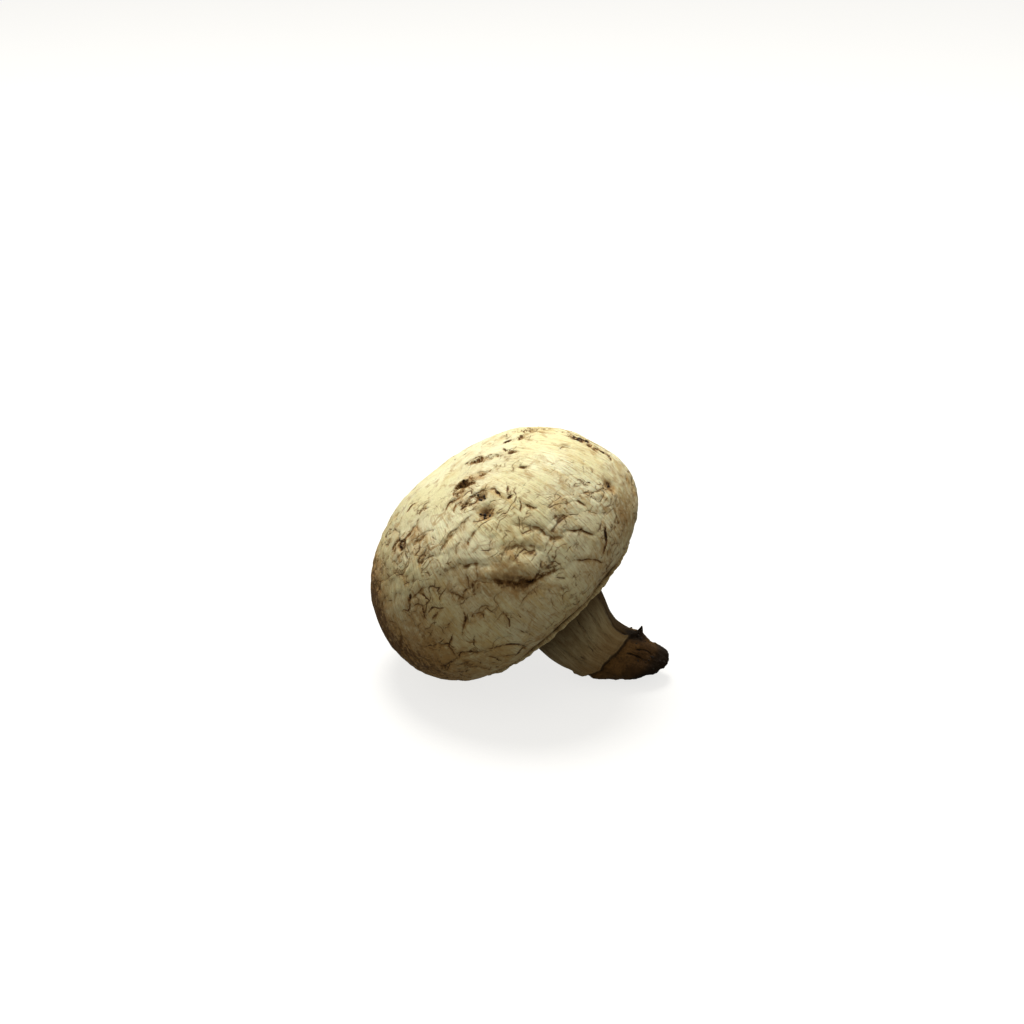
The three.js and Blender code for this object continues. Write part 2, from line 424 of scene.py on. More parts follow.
SCATTERS = [  # region, layer, how many are tried, seed, lengths, look, least distance apart
    ("hidden", "folds", 90, 3, (4, 9), FOLD_LOOK, 5.5),
    ("arcs", "folds", 90, 13, (2.5, 6), ARC_LOOK, 2.6),
    ("hidden", "cracks", 200, 5, (1.2, 3.5), CRACK_LOOK, 3.0),
    ("cracked", "cracks", 150, 19, (1.5, 4.5), dict(CRACK_LOOK, tone=1.6), 2.0),
    ("lively", "flakes", 380, 7, (1.0, 3.6), FLAKE_LOOK, 2.2),
    ("outside", "ticks", 900, 11, (0.4, 1.3), TICK_LOOK, 1.4),
]
TEAR_LENGTHS = (1.4, 4.2)
TEAR_SEED = 23

PAINTED_SHADE_SPAN = (41, 6)  # heights above the floor between which painted shade makes the skin browner and darker towards the floor
HOLLOW_RADIUS = 20.4  # the cap's hollow underneath, and the levels of its opening and its roof
HOLLOW_LOW = 1.6
HOLLOW_HIGH = 15.5


def lay_mark(skin, layer, place, normal, length, heading, bend, settings, strength):
    """Lays one short curved mark; a heading of zero runs round the cap."""
    around = unit(np.cross((0, 0, 1), normal) + 1e-6)
    ahead = math.cos(heading) * around + math.sin(heading) * np.cross(normal, around)
    aside = np.cross(normal, ahead)
    t = np.linspace(-0.5, 0.5, 7)
    wave = bend * length * (1 - 4 * t * t) + 0.05 * length * np.sin(9 * t + 7 * strength)
    line = place + np.outer(t * length, ahead) + np.outer(wave, aside)
    if settings["ragged"]:
        line = ragged(line, settings["ragged"])
    scale = 0.5 + strength
    tone = settings["tone"] * (0.25 + 1.05 * strength**1.5)
    skin.mark(layer, line, settings["width"], settings["depth"] * scale, settings["lift"] * scale, tone,
              settings["stain"] * scale)


def scatter_marks(skin, cap, region, layer, count, seed, lengths, settings, apart):
    """Scatters short curved marks over a region, none closer to another than it should be."""
    dice = random.Random(seed)
    taken = KDTree(count)
    laid = 0
    for _ in range(count):
        start = cap.anywhere(dice, region)
        place = cap.places[start]
        length = dice.uniform(*lengths)
        heading = dice.gauss(settings["heading"], settings["spread"])
        bend = dice.gauss(settings["bend"], 0.12)
        strength = dice.random()
        if noise.noise(Vector(place / 9 + seed)) + 0.6 < strength:
            continue
        if laid and taken.find(place)[2] < apart:
            continue
        taken.insert(place, laid)
        taken.balance()
        laid += 1
        lay_mark(skin, layer, place, skin.normals[start], length, heading, bend, settings, strength)


def tear_row(skin, cap, ends, count, settings, dice):
    """Lays ragged tears one after another between two places, a little to each side of the row."""
    first, last = (np.array(end, float) for end in ends)
    girth = math.sin(math.radians((first + last)[1] / 2))
    heading = math.atan2(first[1] - last[1], (last[0] - first[0]) * girth)
    for i in range(count):
        along = (i + dice.uniform(0.1, 0.9)) / count
        bearing, down = first + (last - first) * along + [dice.gauss(0, 1.0), dice.gauss(0, 1.2)]
        start = cap.nearest(bearing, down)
        lay_mark(skin, "cracks", cap.places[start], skin.normals[start], dice.uniform(*TEAR_LENGTHS),
                 dice.gauss(heading, 0.3), dice.gauss(0.12, 0.15), settings, dice.random())


def creases(places, bearing, arc, size, stretch, seed):
    """A field whose zero lines wander across the cap. Near its top they run every way alike, and
    lower down they run mostly round it."""
    warp = np.array([noise.noise_vector(Vector(p)) for p in places / (2.2 * size) + seed])
    flat = ring_place(CAP_GIRTH / stretch, bearing, arc)
    ringed = fractal(flat + 0.7 * size * warp, size, 3, seed)
    even = fractal(places + 0.7 * size * warp, 1.3 * size, 3, seed + 5)
    share = smooth(12, 22, arc)
    return even * (1 - share) + ringed * share


def lay_landmarks(skin, cap):
    """Lays the folds, cracks, pits, swellings, stains with some painted shade, and rows of tears that have
    places of their own.
    """
    for width, depth, lift, tone, corners in FOLDS:
        skin.mark("folds", ragged(cap.line(corners), 0.6), width, depth, lift, tone, 0.55)
    for tone, corners in CRACKS:
        skin.mark("cracks", ragged(cap.line(corners), 0.42), *CRACK, tone, 0.35)
    for bearing, down, size, depth in PITS:
        skin.dent(cap.at(bearing, down), size, depth, 1.3 * depth)
    for bearing, down, size, rise in SWELLINGS:
        skin.dent(cap.at(bearing, down), size, -rise)
    for bearing, down, size, amount in STAINS_AND_SHADE:
        skin.stain += amount * cap.around(bearing, down, size)
    dice = random.Random(TEAR_SEED)
    for *ends, count in TORN_ROWS:
        tear_row(skin, cap, ends, count, TEAR_LOOK, dice)


def scatter_all(skin, cap, outside, bearing, calm):
    """Scatters the marks that have no places of their own, each kind over its own region."""
    regions = {
        "outside": outside,
        "hidden": outside & (np.abs(np.degrees(bearing) + 75) > 60),
        "lively": outside & (calm < 0.45),
        "arcs": outside & (cap.around(-105, 62, 13) > 0.3),
        "cracked": outside & (cap.around(-115, 92, 12) + cap.around(-80, 104, 8) > 0.35),
    }
    for region, layer, *rule in SCATTERS:
        scatter_marks(skin, cap, regions[region], layer, *rule)


def cap_relief(places, wide, narrow, patch):
    """How far the skin stands out: broad lumps, a fine grain, and puffs between the creases."""
    puffy = 0.11 * np.minimum(np.abs(wide) * 3, 1) - 0.08 * np.exp(-((wide / 0.07) ** 2))
    wrinkles = 0.03 * np.minimum(np.abs(narrow) * 3, 1)
    lumps = 0.75 * fractal(places, 17, 2) + 0.14 * fractal(places, 5.5, 2, 9.0)
    grain = 0.02 * fractal(places, 1.2, 2, 4.0)
    return lumps + grain + (0.15 + 0.85 * patch) * (puffy + wrinkles)


def make_cap(material):
    mesh = fine_copy("cap", CAP_VOXEL, 14)
    places = upright.inward(points_of(mesh))
    normals = normals_of(mesh) @ upright.turn.T
    level = places[:, 2]
    radius = np.hypot(places[:, 0], places[:, 1])
    bearing = np.arctan2(places[:, 1], places[:, 0])
    inner = (radius < HOLLOW_RADIUS) & (level > HOLLOW_LOW) & (level < HOLLOW_HIGH)
    outside = (~inner & (radius > 12)) | (level > HOLLOW_HIGH)
    open_skin = np.where(inner, 0.0, smooth(13, 17, np.maximum(radius, 1.4 * (level - 3))))
    skin = Skin(places, normals)
    cap = CapPlaces(places, outside)
    down = np.degrees(np.arccos(np.clip(cap.rays[:, 2], -1, 1)))
    arc = np.radians(down) * CAP_GIRTH

    lay_landmarks(skin, cap)
    calm = sum(cap.around(*spot) for spot in CALM_SPOTS)
    scatter_all(skin, cap, outside, bearing, calm)
    wide = creases(places, bearing, arc, 4.2, 2.2, 2.0)
    narrow = creases(places, bearing, arc, 1.7, 2.0, 7.0)
    patch = smooth(-0.25, 0.3, fractal(places, 8, 3, 3.0)) * smooth(6, 24, arc)
    patch *= 1 - 0.85 * np.minimum(calm, 1)
    height = (cap_relief(places, wide, narrow, patch) + skin.height) * open_skin
    margin = np.exp(-((level / 0.55) ** 2)) * (radius > 17)
    # Brown along the margin, and painted shade where the skin is sunk.
    skin.stain += 1.1 * margin + 0.7 * smooth(-0.06, -0.5, skin.height)

    # Painted shade: a share that grows towards the floor, browning and darkening the skin there.
    painted_low_shade = smooth(*PAINTED_SHADE_SPAN, upright.outward(places)[:, 2])
    keep_attribute(mesh, "upright_place", places)
    girth = CAP_GIRTH * np.minimum(radius / 14, 1)
    keep_attribute(mesh, "fibre_place", ring_place(girth, bearing, arc * 0.12))
    keep_attribute(mesh, "net_place", ring_place(np.minimum(radius, 0.55 * CAP_GIRTH), bearing, arc))
    keep_attribute(mesh, "creases", np.stack([wide, narrow, patch], 1))
    keep_attribute(mesh, "tints", np.stack([painted_low_shade, down, skin.stain], 1))
    skin.write(mesh)
    write_points(mesh, places + normals * height[:, None])
    return new_piece("mushroom_cap", mesh, "cap", material)


# ==== Stem ====
FOOT_LEVEL = -14.1  # height of the foot's trimmed edge, lower where the stem bends upwards
FOOT_DROP = 2.6  # how much lower
PEEL_BEARING = -16  # the torn strip runs along the stem's upper side from here
PEEL_WIDTH = 55  # degrees
SPIKE = (10, -16.0, 1.25)  # bearing, height and length of the curl of torn skin on the foot
# Hollows of the foot, or swellings where the depth is negative: bearing, height, size, depth.
FOOT_LUMPS = [(-50, -18, 1.6, 0.5), (-20, -18, 2.2, -0.3), (-65, -16, 2.5, -0.2), (15, -21, 2.4, -0.8),
              (10, -19, 1.0, 0.5), (60, -17, 2.0, 0.5), (140, -17, 2.4, -0.4), (-150, -17, 2.0, 0.4),
              (180, -18, 3.0, -1.1)]
KNOT = (-3, -15.0, 2.6)  # bearing, height and size of the dark spot under the curl
STEM_TEARS = [  # tone, (bearing, height) corners
    (1.0, [(PEEL_BEARING, -4), (PEEL_BEARING, -14)]),
    (0.6, [(-60, -3), (-65, -12)]),
    (0.7, [(-68, -9), (-72, -11)]),
    (0.7, [(-92, -10), (-88, -11)]),
    (0.5, [(-40, -4), (-45, -13)]),
    (0.5, [(-112, -5), (-100, -13)]),
    (0.8, [(40, -3), (36, -8), (42, -13)]),
    (0.7, [(95, -2), (100, -9), (94, -13)]),
    (0.7, [(160, -4), (165, -11)]),
    (1.1, [(-52, -15), (-47, -17), (-52, -19)]),
    (0.9, [(-38, -16), (-30, -17), (-33, -19)]),
]
STEM_TEAR = (0.38, 0.25, 0.15)  # width, depth, lift
SHOULDER = (1.2, -4.0, 5.0)  # rise, height and length of the swelling on the stem's upper side
WAIST = (1.5, -13.0, 3.5)  # the same for the hollow underneath


class StemPlaces:
    """Finds places on the stem's side from a bearing about its own bent middle line and a height."""

    def __init__(self, places):
        self.places = places
        levels = np.linspace(places[:, 2].min() + 1, places[:, 2].max() - 1, 14)
        rings = [places[np.abs(places[:, 2] - level) < 0.8, :2] for level in levels]
        centres = np.array([(ring.min(0) + ring.max(0)) / 2 for ring in rings])
        middle = np.stack([np.interp(places[:, 2], levels, centres[:, k]) for k in range(2)], 1)
        gap = places[:, :2] - middle
        self.bearing = np.degrees(np.arctan2(gap[:, 1], gap[:, 0]))

    def at(self, bearing, height):
        turn = (self.bearing - bearing + 180) % 360 - 180
        return self.places[np.argmin((turn * 0.13) ** 2 + (self.places[:, 2] - height) ** 2)]

    def line(self, corners):
        return curve_through([self.at(*corner) for corner in corners], 7)


def make_stem(material):
    mesh = fine_copy("stem", STEM_VOXEL, 10)
    places = upright.inward(points_of(mesh))
    normals = normals_of(mesh) @ upright.turn.T
    stem = StemPlaces(places)
    turn = np.radians(stem.bearing)
    skin = Skin(places, normals)
    run = ring_place(8, turn, places[:, 2] * 0.14)
    level = FOOT_LEVEL - FOOT_DROP * smooth(-60, 20, -np.abs(stem.bearing - 20))
    wander = 0.7 * fractal(places, 3.5, 3, 6.0)
    past = level + wander - places[:, 2]  # how far past the trimmed edge, towards the foot's end
    foot = smooth(-0.15, 0.15, past)
    side = (stem.bearing - PEEL_BEARING) + 6 * fractal(places, 4.0, 3, 1.0)
    peel = smooth(-2, 2, side) * (1 - smooth(PEEL_WIDTH - 12, PEEL_WIDTH, side))
    peel *= 1 - smooth(2, 8, places[:, 2])

    for tone, corners in STEM_TEARS:
        skin.mark("cracks", ragged(stem.line(corners), 0.3), *STEM_TEAR, tone, 0.3)
    for lump_bearing, lump_height, size, depth in FOOT_LUMPS:
        skin.dent(stem.at(lump_bearing, lump_height), size, depth, 0.2 if depth > 0 else 0.0)
    near = np.linalg.norm(places - stem.at(*SPIKE[:2]), axis=1)
    spike = SPIKE[2] * np.exp(-(near / 0.7) ** 1.5) + 0.3 * np.exp(-(near / 1.6) ** 2)
    ridges = 0.16 * fractal(run, 2.0, 3) + 0.07 * fractal(run, 0.7, 2, 3.0)
    edge = 0.4 * np.exp(-((past + 0.35) / 0.3) ** 2) - 0.3 * foot * np.exp(-((past - 0.3) / 0.6) ** 2)
    rough = foot * (0.35 * fractal(places, 3.0, 4, 5.0) + 0.15 * fractal(places, 0.9, 3, 8.0))
    lumps = 0.3 * fractal(places, 9, 2, 2.0)
    for (rise, middle, length), side_up in ((SHOULDER, 1), (WAIST, -1)):
        share = np.maximum(side_up * np.cos(turn), 0) * np.exp(-(((places[:, 2] - middle) / length) ** 2))
        lumps += side_up * rise * share
    shown = smooth(9, 4, places[:, 2])
    height = (lumps + ridges * (1 - 0.6 * foot) + edge + rough - 0.22 * peel + skin.height + spike) * shown
    curl = np.array([0.0, -0.25, 0.55]) * spike[:, None]  # the spike's tip bends back up the stem
    knot = np.exp(-(np.linalg.norm(places - stem.at(*KNOT[:2]), axis=1) / KNOT[2]) ** 2)
    end = smooth(-18, -21, places[:, 2])
    keep_attribute(mesh, "upright_place", places)
    keep_attribute(mesh, "fibre_place", run)
    keep_attribute(mesh, "edges", np.stack([past, side, foot], 1))
    keep_attribute(mesh, "tints", np.stack([peel, knot + 0.8 * end, skin.stain], 1))
    skin.write(mesh)
    write_points(mesh, places + normals * height[:, None] + curl)
    return new_piece("mushroom_stem", mesh, "stem", material)


# ==== Veil ====
VEIL_GIRTH = 19


def make_veil(material):
    """The torn ring of skin under the cap, with a ragged inner edge and a rim that follows the cap's."""
    mesh = fine_copy("veil", VEIL_VOXEL, 4)
    places = upright.inward(points_of(mesh))
    normals = normals_of(mesh) @ upright.turn.T
    radius = np.hypot(places[:, 0], places[:, 1])
    turn = np.arctan2(places[:, 1], places[:, 0])
    around = ring_place(VEIL_GIRTH, turn, radius * 0.2)
    loose = smooth(14.5, 11.5, radius)
    rim = smooth(17.5, 19.0, radius)
    grain = 0.08 * fractal(around, 0.8, 2, 3.0)
    waves = 0.15 * fractal(places, 2.5, 3, 1.0) * smooth(19.5, 17, radius)
    height = rim * (0.15 + 0.25 * fractal(around, 2.2, 3, 2.0)) + grain + waves
    tatters = loose * (0.3 + 1.6 * fractal(around, 2.6, 4))
    reach = tatters + rim * (0.25 * fractal(around, 1.4, 3, 5.0) - 0.55)
    moved = places + normals * height[:, None]
    moved += ring_place(1, turn, 0 * turn) * reach[:, None]
    moved[:, 2] += loose * 0.8 * fractal(around, 4.5, 2, 8.0) - 0.4 * loose
    keep_attribute(mesh, "upright_place", places)
    keep_attribute(mesh, "fibre_place", around)
    keep_attribute(mesh, "loose", loose)
    keep_attribute(mesh, "radius", radius)
    write_points(mesh, moved)
    return new_piece("torn_veil", mesh, "veil", material)


# ==== Gills ====
GILLS = 140
GILL_HALF = 0.11  # half a plate's thickness, and then the same at its free edge
GILL_EDGE = 0.04
GILL_STARTS = (0, 3.2, 1.4, 4.6)  # how far from the stem the plates begin, by turns


def gill_row(build, turn, radius, roof, free, sway):
    """Six vertices of a plate's cross-section: two at its roof, two half way and two at its free edge."""
    row = []
    for level, half, lean in ((roof, GILL_HALF, 0.0), (0.5 * (roof + free), GILL_HALF, sway * 0.6),
                              (free, GILL_EDGE, sway)):
        for side in (-1, 1):
            angle = turn + (lean + side * half) / radius
            row.append(build.verts.new((radius * math.cos(angle), radius * math.sin(angle), level)))
    return row


def gill_faces(build, rows):
    for a, b in zip(rows, rows[1:]):
        for upper, lower in ((0, 2), (2, 4)):
            build.faces.new((a[upper], a[lower], b[lower], b[upper]))
            build.faces.new((b[upper + 1], b[lower + 1], a[lower + 1], a[upper + 1]))
        build.faces.new((a[4], a[5], b[5], b[4]))
    for row, order in ((rows[0], (0, 1, 3, 2)), (rows[0], (2, 3, 5, 4)), (rows[-1], (2, 3, 1, 0)),
                       (rows[-1], (4, 5, 3, 2))):
        build.faces.new([row[k] for k in order])


def make_gills(material):
    """Thin upright plates in a ring, long and short by turns, hanging where the CAD's gills do."""
    ring = upright.inward(points_of(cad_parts["gills"].data))
    radius = np.hypot(ring[:, 0], ring[:, 1])
    near, far = radius.min() + 0.1, radius.max() - 0.1
    top, low = ring[:, 2].max(), ring[:, 2].min()
    dice = random.Random(17)
    build = bmesh.new()
    for i in range(GILLS):
        start = near + GILL_STARTS[i % 4] + dice.uniform(0, 0.4)
        bend, phase = dice.uniform(0.15, 0.4), dice.uniform(0, 6.3)
        rows = []
        for t in np.linspace(0, 1, 9):
            roof = top - 0.3 - 6.0 * max(0.0, t - 0.55) ** 1.6
            free = low + 1.2 + (roof - low - 1.6) * (t**2.5) + dice.uniform(-0.12, 0.12)
            sway = bend * math.sin(phase + 5 * t)
            rows.append(gill_row(build, 2 * math.pi * i / GILLS, start + (far - start) * t, roof, free, sway))
        gill_faces(build, rows)
    mesh = bpy.data.meshes.new("gills")
    build.to_mesh(mesh)
    build.free()
    places = points_of(mesh) * MM  # the plates were built with a millimetre as the unit
    keep_attribute(mesh, "upright_place", places)
    write_points(mesh, places)
    return new_piece("gill_plates", mesh, "gills", material)


# ==== Soil ====
def cap_spot(bearing, down, radius=24.5):
    """A place just under the cap's skin, in the frame's own axes."""
    return upright.outward(np.array([0, 0, upright.widest]) + radius * np.array(cap_ray(bearing, down)))


def stem_spot(bearing, height, radius=7.0):
    """A place near the stem's side, in the frame's own axes."""
    turn = math.radians(bearing)
    curl = 0.35 * max(0.0, -height - 10)
    return upright.outward(np.array([curl + radius * math.cos(turn), radius * math.sin(turn) - 2, height]))


# Where soil is caught: (bearing, down or height, spread, grains).
CAP_SOIL = [(-57, 51, 0.4, 8), (-62, 59, 0.5, 6), (-13, 90, 0.3, 3), (-30, 81, 0.2, 1), (-25, 85, 0.2, 1),
            (40, 60, 1.5, 4), (140, 40, 1.5, 4)]
STEM_SOIL = [(0, -15, 1.0, 10), (-30, -19, 1.5, 12), (60, -18, 1.8, 10), (150, -18, 1.8, 10)]


def make_soil(cap_mesh, stem_mesh, material):
    """Grains of dry soil caught in the cap's pits and on the foot."""
    dice = random.Random(29)
    build = bmesh.new()
    spots = []  # (place, size) of each grain
    for mesh, places_of_soil, find in ((cap_mesh, CAP_SOIL, cap_spot), (stem_mesh, STEM_SOIL, stem_spot)):
        tree = tree_of(points_of(mesh))
        for bearing, level, spread, count in places_of_soil:
            for _ in range(count):
                guess = Vector(find(bearing, level)) + Vector([dice.gauss(0, spread) for _ in range(3)])
                spots.append((tree.find(guess)[0], dice.uniform(0.12, 0.36)))
    for place, size in spots:
        grain = bmesh.ops.create_icosphere(build, subdivisions=1, radius=size)["verts"]
        stretch = Vector([dice.uniform(0.6, 1.3) for _ in range(3)])
        for vert in grain:
            vert.co = Vector([c * s for c, s in zip(vert.co, stretch)]) * dice.uniform(0.75, 1.15) + place
            vert.co.z = max(vert.co.z, 0)
    for vert in build.verts:
        vert.co *= MM
    mesh = bpy.data.meshes.new("soil")
    build.to_mesh(mesh)
    build.free()
    return new_piece("soil_crumbs", mesh, None, material)


# ==== Materials ====
class Paint:
    """A material with a Principled shader, and short calls for the nodes that feed it."""

    def __init__(self, name):
        self.material = bpy.data.materials.new(name)
        self.material.use_nodes = True
        self.nodes = self.material.node_tree.nodes
        self.links = self.material.node_tree.links
        self.shader = self.nodes["Principled BSDF"]

    def feed(self, socket, value):
        if isinstance(value, bpy.types.NodeSocket):
            self.links.new(value, socket)
        else:
            socket.default_value = value

    def make(self, kind, settings=None, **inputs):
        """A new node with its settings, and with values or sockets fed to its inputs."""
        node = self.nodes.new(kind)
        for name, value in (settings or {}).items():
            setattr(node, name, value)
        for name, value in inputs.items():
            self.feed(node.inputs[name.replace("_", " ")], value)
        return node

    def number(self, name):
        return self.make("ShaderNodeAttribute", {"attribute_name": name}).outputs["Fac"]

    def vector(self, name):
        return self.make("ShaderNodeAttribute", {"attribute_name": name}).outputs["Vector"]

    def math(self, operation, *values):
        node = self.make("ShaderNodeMath", {"operation": operation})
        for socket, value in zip(node.inputs, values):
            self.feed(socket, value)
        return node.outputs[0]

    def times(self, a, b):
        return self.math("MULTIPLY", a, b)

    def ramp(self, value, low, high, to_low=0.0, to_high=1.0):
        """A smooth rise from to_low to to_high while a value goes from low to high."""
        node = self.make("ShaderNodeMapRange", {"interpolation_type": "SMOOTHSTEP"}, Value=value,
                         From_Min=low, From_Max=high, To_Min=to_low, To_Max=to_high)
        return node.outputs["Result"]

    def mix(self, share, a, b):
        """Colour a, with a share of colour b laid over it."""
        node = self.make("ShaderNodeMix", {"data_type": "RGBA"})
        for name, value in (("Factor_Float", share), ("A_Color", a), ("B_Color", b)):
            socket = next(s for s in node.inputs if s.identifier == name)
            self.feed(socket, (*value, 1) if isinstance(value, tuple) else value)
        return next(s for s in node.outputs if s.identifier == "Result_Color")

    def noise(self, place, scale, detail=4.0, roughness=0.55, distortion=0.0):
        return self.make("ShaderNodeTexNoise", Vector=place, Scale=scale, Detail=detail, Roughness=roughness,
                         Distortion=distortion).outputs["Fac"]

    def cells(self, place, scale, feature="F1"):
        node = self.make("ShaderNodeTexVoronoi", {"feature": feature}, Vector=place, Scale=scale)
        return node.outputs["Distance"]

    def split(self, vector):
        """The three parts of a vector."""
        node = self.nodes.new("ShaderNodeSeparateXYZ")
        self.links.new(vector, node.inputs[0])
        return node.outputs

    def shift(self, vector, place, amount, size):
        """Bends a vector by noise, to make straight lines wander."""
        wander = self.make("ShaderNodeTexNoise", Vector=place, Scale=1 / size, Detail=3.0)
        node = self.make("ShaderNodeVectorMath", {"operation": "MULTIPLY_ADD"})
        self.links.new(wander.outputs["Color"], node.inputs[0])
        node.inputs[1].default_value = (amount, amount, amount)
        self.links.new(vector, node.inputs[2])
        return node.outputs[0]

    def line(self, layer, thin, wide):
        """How much of a layer's line covers a point, its tone, and the shade on its lower side."""
        distance, strength, tone = self.split(self.vector(layer))
        away = self.math("DIVIDE", self.math("ABSOLUTE", distance), self.math("MAXIMUM", tone, 0.5))
        near = self.ramp(away, wide, thin)
        below = self.times(self.ramp(distance, -0.7, -0.1), self.ramp(distance, 0.1, -0.05))
        return self.times(near, strength), tone, self.times(self.times(below, strength), tone)

    def settle(self, **values):
        """Feeds the shader itself."""
        for name, value in values.items():
            self.feed(self.shader.inputs[name.replace("_", " ")], value)
        return self.material

    def finish(self, colour, height, lift, roughness, **values):
        """The finished material, with a fine relief of up to lift millimetres."""
        bump = self.make("ShaderNodeBump", Distance=lift * MM, Height=height)
        return self.settle(Base_Color=colour, Roughness=roughness, Normal=bump.outputs[0], **values)


PALE = (0.87, 0.85, 0.57)
CREAM = (0.82, 0.77, 0.45)
STRAW = (0.62, 0.44, 0.16)
OLIVE = (0.50, 0.34, 0.135)
TAN = (0.40, 0.225, 0.070)
RUST = (0.25, 0.125, 0.033)
BROWN = (0.11, 0.050, 0.013)
DARK = (0.022, 0.010, 0.003)


def grain_height(p, parts):
    """The sum of a few textures, each in its own share."""
    (first, share), *others = parts
    height = p.times(first, share)
    for texture, share in others:
        height = p.math("MULTIPLY_ADD", texture, share, height)
    return height


def paint_crease(p, colour, height, place, patch, field, thin, soft, strength):
    """A wandering crease where a field is zero, with a soft brown edge to it."""
    away = p.math("ABSOLUTE", field)
    faint = p.times(p.ramp(p.noise(place, 0.5, 3.0), 0.42, 0.58), p.ramp(patch, 0.0, 0.6))
    halo = p.times(p.ramp(away, soft, 0.0, 0.0, 0.55), faint)
    colour = p.mix(halo, colour, TAN)
    line = p.times(p.ramp(away, thin, 0.0), p.times(faint, strength))
    return p.mix(line, colour, BROWN), p.math("MULTIPLY_ADD", line, -0.8, height)


def paint_net(p, colour, height, place, warped, scale, broad_scale, low_share, strength):
    """Hairlines between cells, shown only in some patches."""
    gap = p.cells(warped, scale, "DISTANCE_TO_EDGE")
    shown = p.ramp(p.noise(place, broad_scale, 4.0, 0.7), low_share, low_share + 0.08)
    line = p.times(p.ramp(gap, 0.05, 0.01), p.times(shown, strength))
    return p.mix(line, colour, BROWN), p.math("MULTIPLY_ADD", line, -0.7, height)


def paint_marks(p, colour, height, place, layer, thin, wide):
    """One layer of marks, rust at their faint ends and near black where they are deep."""
    cover, tone, under = p.line(layer, thin, wide)
    broken = p.times(cover, p.ramp(p.noise(place, 2.3, 2.0), 0.34, 0.5, 0.25, 1.0))
    # Painted shade: tan on each mark's lower side, under its lifted edge.
    colour = p.mix(p.times(under, 0.5), colour, TAN)
    shade = p.times(broken, tone)
    colour = p.mix(p.ramp(shade, 0.05, 0.45, 0.0, 0.9), colour, RUST)
    colour = p.mix(p.ramp(shade, 0.35, 0.8, 0.0, 0.85), colour, BROWN)
    colour = p.mix(p.ramp(shade, 0.8, 1.3, 0.0, 0.95), colour, DARK)
    return colour, p.math("MULTIPLY_ADD", shade, -0.9, height)


def cap_paint():
    p = Paint("mushroom_skin")
    place = p.vector("upright_place")
    run = p.vector("fibre_place")
    net = p.vector("net_place")
    painted_low_shade, down, stain = p.split(p.vector("tints"))
    wide, narrow, patch = p.split(p.vector("creases"))
    broad = p.noise(place, 0.075, 3.0)
    patches = p.noise(place, 0.17, 5.0, 0.6, 0.6)
    fine = p.noise(place, 1.1, 5.0, 0.65)
    fibres = p.noise(run, 1.3, 4.0, 0.6, 0.3)
    threads = p.noise(run, 3.6, 3.0, 0.7)
    flank = p.ramp(down, 20.0, 65.0, 0.25, 1.0)

    colour = p.mix(p.ramp(broad, 0.4, 0.62), CREAM, PALE)
    # Painted shade: mottled olive-brown towards the floor.
    mottle = p.ramp(p.noise(place, 0.22, 5.0, 0.65, 0.8), 0.38, 0.62, 0.45, 1.05)
    colour = p.mix(p.times(painted_low_shade, mottle), colour, OLIVE)
    colour = p.mix(p.ramp(patches, 0.52, 0.72, 0.0, 0.6), colour, STRAW)
    streaks = p.times(p.ramp(fibres, 0.48, 0.7), flank)
    colour = p.mix(p.times(streaks, 0.5), colour, STRAW)
    streaks = p.times(p.ramp(threads, 0.48, 0.7), flank)
    colour = p.mix(p.times(streaks, 0.65), colour, TAN)
    blots = p.ramp(p.noise(place, 0.3, 4.0, 0.65, 0.8), 0.53, 0.68)
    colour = p.mix(p.times(blots, 0.62), colour, TAN)
    # Stains together with painted shade in hollows and under lifted edges.
    stain = p.times(stain, p.ramp(fine, 0.3, 0.65, 0.35, 1.0))
    colour = p.mix(p.ramp(stain, 0.0, 0.8, 0.0, 0.8), colour, TAN)
    colour = p.mix(p.ramp(stain, 0.7, 1.4, 0.0, 0.9), colour, BROWN)

    height = grain_height(p, ((fibres, 0.35), (threads, 0.35), (fine, 0.35)))
    for field, thin, soft, strength in ((wide, 0.05, 0.22, 0.95), (narrow, 0.07, 0.25, 0.6)):
        colour, height = paint_crease(p, colour, height, place, patch, field, thin, soft, strength)
    warped = p.shift(net, place, 0.9, 1.6)
    for net_rule in ((0.42, 0.2, 0.58, 0.45), (0.95, 0.35, 0.62, 0.2)):
        colour, height = paint_net(p, colour, height, place, warped, *net_rule)
    for layer, widths in (("folds", (0.08, 0.5)), ("flakes", (0.05, 0.32)), ("cracks", (0.07, 0.26)),
                          ("ticks", (0.04, 0.2))):
        colour, height = paint_marks(p, colour, height, place, layer, *widths)
    specks = p.ramp(p.cells(place, 0.55), 0.055, 0.035)
    colour = p.mix(p.times(specks, 0.85), colour, BROWN)
    return p.finish(colour, height, 0.26, p.ramp(fine, 0.3, 0.7, 0.55, 0.72), Subsurface_Weight=0.10,
                    Subsurface_Radius=(1.0, 0.7, 0.35), Subsurface_Scale=1.0 * MM, Specular_IOR_Level=0.2)


